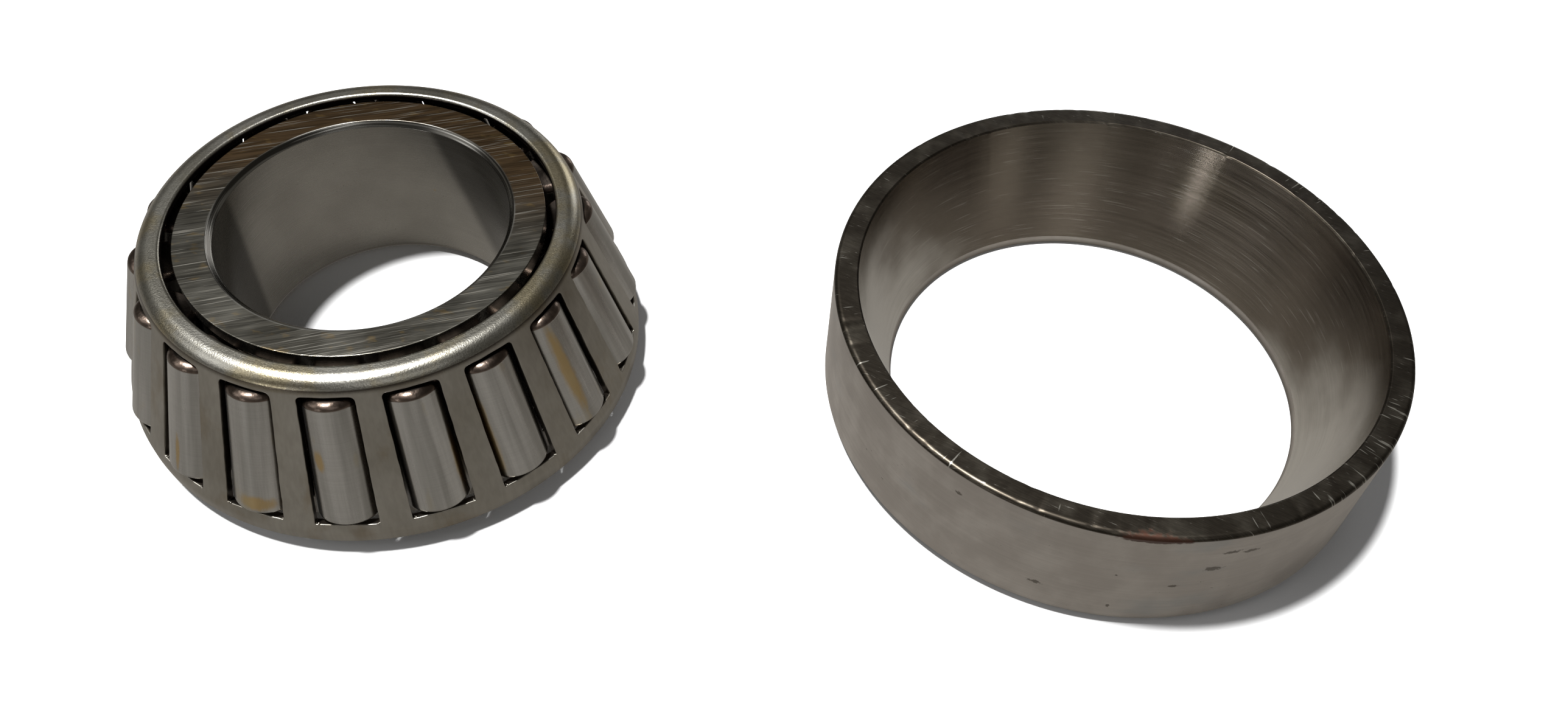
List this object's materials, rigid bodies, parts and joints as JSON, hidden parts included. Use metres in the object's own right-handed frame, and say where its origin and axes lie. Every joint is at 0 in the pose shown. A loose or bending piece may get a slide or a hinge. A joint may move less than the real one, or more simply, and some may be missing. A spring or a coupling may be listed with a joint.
{
  "type": "tapered roller bearing",
  "caption": "Separable tapered roller bearing: inner ring with a pressed-steel cage of tapered rollers standing small end up, and the loose outer ring lying beside it.",
  "frame": {"origin": "on the inner ring's axis, in the plane of its back face, which is the face it stands on", "axes": "+Z along the bearing axis, up towards the rollers' small ends; +X from the roller set's axis to the loose outer ring's axis; +Y completes the right-handed set"},
  "size_m": [0.1542, 0.0682, 0.0224],
  "materials": {
    "ground_steel": "ground bearing steel, satin bore, scratched face with brown staining",
    "cage_steel": "pressed sheet steel, smooth bars and a fine-grained rolled lip with straw staining",
    "roller_steel": "ground satin sides, dark bronze unground small ends",
    "cup_steel": "ground bearing steel with fine circumferential lines, dark rim"
  },
  "bodies": {
    "inner_ring": {"inner_ring": "ground_steel"},
    "cage": {"cage": "cage_steel"},
    "roller_01": {"roller_01": "roller_steel"},
    "roller_02": {"roller_02": "roller_steel"},
    "roller_03": {"roller_03": "roller_steel"},
    "roller_04": {"roller_04": "roller_steel"},
    "roller_05": {"roller_05": "roller_steel"},
    "roller_06": {"roller_06": "roller_steel"},
    "roller_07": {"roller_07": "roller_steel"},
    "roller_08": {"roller_08": "roller_steel"},
    "roller_09": {"roller_09": "roller_steel"},
    "roller_10": {"roller_10": "roller_steel"},
    "roller_11": {"roller_11": "roller_steel"},
    "roller_12": {"roller_12": "roller_steel"},
    "roller_13": {"roller_13": "roller_steel"},
    "roller_14": {"roller_14": "roller_steel"},
    "roller_15": {"roller_15": "roller_steel"},
    "roller_16": {"roller_16": "roller_steel"},
    "roller_17": {"roller_17": "roller_steel"},
    "roller_18": {"roller_18": "roller_steel"},
    "outer_ring": {"outer_ring": "cup_steel"}
  },
  "joints": [
    {"name": "cage_spin", "type": "hinge", "parent": "inner_ring", "child": "cage", "pos_m": [0, 0, 0], "axis": [0, 0, 1], "continuous": true},
    {"name": "roller_01_spin", "type": "hinge", "parent": "cage", "child": "roller_01", "pos_m": [-0.00734, -0.02653, 0.00413], "axis": [0.0747, 0.2702, 0.9599], "continuous": true},
    {"name": "roller_02_spin", "type": "hinge", "parent": "cage", "child": "roller_02", "pos_m": [0.00218, -0.02744, 0.00413], "axis": [-0.0222, 0.2795, 0.9599], "continuous": true},
    {"name": "roller_03_spin", "type": "hinge", "parent": "cage", "child": "roller_03", "pos_m": [0.01143, -0.02504, 0.00413], "axis": [-0.1165, 0.2551, 0.9599], "continuous": true},
    {"name": "roller_04_spin", "type": "hinge", "parent": "cage", "child": "roller_04", "pos_m": [0.01931, -0.01962, 0.00413], "axis": [-0.1967, 0.1999, 0.9599], "continuous": true},
    {"name": "roller_05_spin", "type": "hinge", "parent": "cage", "child": "roller_05", "pos_m": [0.02486, -0.01183, 0.00413], "axis": [-0.2532, 0.1205, 0.9599], "continuous": true},
    {"name": "roller_06_spin", "type": "hinge", "parent": "cage", "child": "roller_06", "pos_m": [0.0274, -0.00262, 0.00413], "axis": [-0.2791, 0.0267, 0.9599], "continuous": true},
    {"name": "roller_07_spin", "type": "hinge", "parent": "cage", "child": "roller_07", "pos_m": [0.02665, 0.00691, 0.00413], "axis": [-0.2714, -0.0704, 0.9599], "continuous": true},
    {"name": "roller_08_spin", "type": "hinge", "parent": "cage", "child": "roller_08", "pos_m": [0.02268, 0.01561, 0.00413], "axis": [-0.231, -0.159, 0.9599], "continuous": true},
    {"name": "roller_09_spin", "type": "hinge", "parent": "cage", "child": "roller_09", "pos_m": [0.01597, 0.02242, 0.00413], "axis": [-0.1627, -0.2284, 0.9599], "continuous": true},
    {"name": "roller_10_spin", "type": "hinge", "parent": "cage", "child": "roller_10", "pos_m": [0.00734, 0.02653, 0.00413], "axis": [-0.0747, -0.2702, 0.9599], "continuous": true},
    {"name": "roller_11_spin", "type": "hinge", "parent": "cage", "child": "roller_11", "pos_m": [-0.00218, 0.02744, 0.00413], "axis": [0.0222, -0.2795, 0.9599], "continuous": true},
    {"name": "roller_12_spin", "type": "hinge", "parent": "cage", "child": "roller_12", "pos_m": [-0.01143, 0.02504, 0.00413], "axis": [0.1165, -0.2551, 0.9599], "continuous": true},
    {"name": "roller_13_spin", "type": "hinge", "parent": "cage", "child": "roller_13", "pos_m": [-0.01931, 0.01962, 0.00413], "axis": [0.1967, -0.1999, 0.9599], "continuous": true},
    {"name": "roller_14_spin", "type": "hinge", "parent": "cage", "child": "roller_14", "pos_m": [-0.02486, 0.01183, 0.00413], "axis": [0.2532, -0.1205, 0.9599], "continuous": true},
    {"name": "roller_15_spin", "type": "hinge", "parent": "cage", "child": "roller_15", "pos_m": [-0.0274, 0.00262, 0.00413], "axis": [0.2791, -0.0267, 0.9599], "continuous": true},
    {"name": "roller_16_spin", "type": "hinge", "parent": "cage", "child": "roller_16", "pos_m": [-0.02665, -0.00691, 0.00413], "axis": [0.2714, 0.0704, 0.9599], "continuous": true},
    {"name": "roller_17_spin", "type": "hinge", "parent": "cage", "child": "roller_17", "pos_m": [-0.02268, -0.01561, 0.00413], "axis": [0.231, 0.159, 0.9599], "continuous": true},
    {"name": "roller_18_spin", "type": "hinge", "parent": "cage", "child": "roller_18", "pos_m": [-0.01597, -0.02242, 0.00413], "axis": [0.1627, 0.2284, 0.9599], "continuous": true},
    {"name": "outer_ring_turnover", "type": "hinge", "parent": "inner_ring", "child": "outer_ring", "pos_m": [0.04455, 0, 0.01131], "axis": [0, -1, 0], "range_deg": [0, 180]}
  ],
  "couplings": [
    {"joint": "roller_01_spin", "follows": "cage_spin", "ratio": 6.2846},
    {"joint": "roller_02_spin", "follows": "cage_spin", "ratio": 6.2846},
    {"joint": "roller_03_spin", "follows": "cage_spin", "ratio": 6.2846},
    {"joint": "roller_04_spin", "follows": "cage_spin", "ratio": 6.2846},
    {"joint": "roller_05_spin", "follows": "cage_spin", "ratio": 6.2846},
    {"joint": "roller_06_spin", "follows": "cage_spin", "ratio": 6.2846},
    {"joint": "roller_07_spin", "follows": "cage_spin", "ratio": 6.2846},
    {"joint": "roller_08_spin", "follows": "cage_spin", "ratio": 6.2846},
    {"joint": "roller_09_spin", "follows": "cage_spin", "ratio": 6.2846},
    {"joint": "roller_10_spin", "follows": "cage_spin", "ratio": 6.2846},
    {"joint": "roller_11_spin", "follows": "cage_spin", "ratio": 6.2846},
    {"joint": "roller_12_spin", "follows": "cage_spin", "ratio": 6.2846},
    {"joint": "roller_13_spin", "follows": "cage_spin", "ratio": 6.2846},
    {"joint": "roller_14_spin", "follows": "cage_spin", "ratio": 6.2846},
    {"joint": "roller_15_spin", "follows": "cage_spin", "ratio": 6.2846},
    {"joint": "roller_16_spin", "follows": "cage_spin", "ratio": 6.2846},
    {"joint": "roller_17_spin", "follows": "cage_spin", "ratio": 6.2846},
    {"joint": "roller_18_spin", "follows": "cage_spin", "ratio": 6.2846}
  ]
}
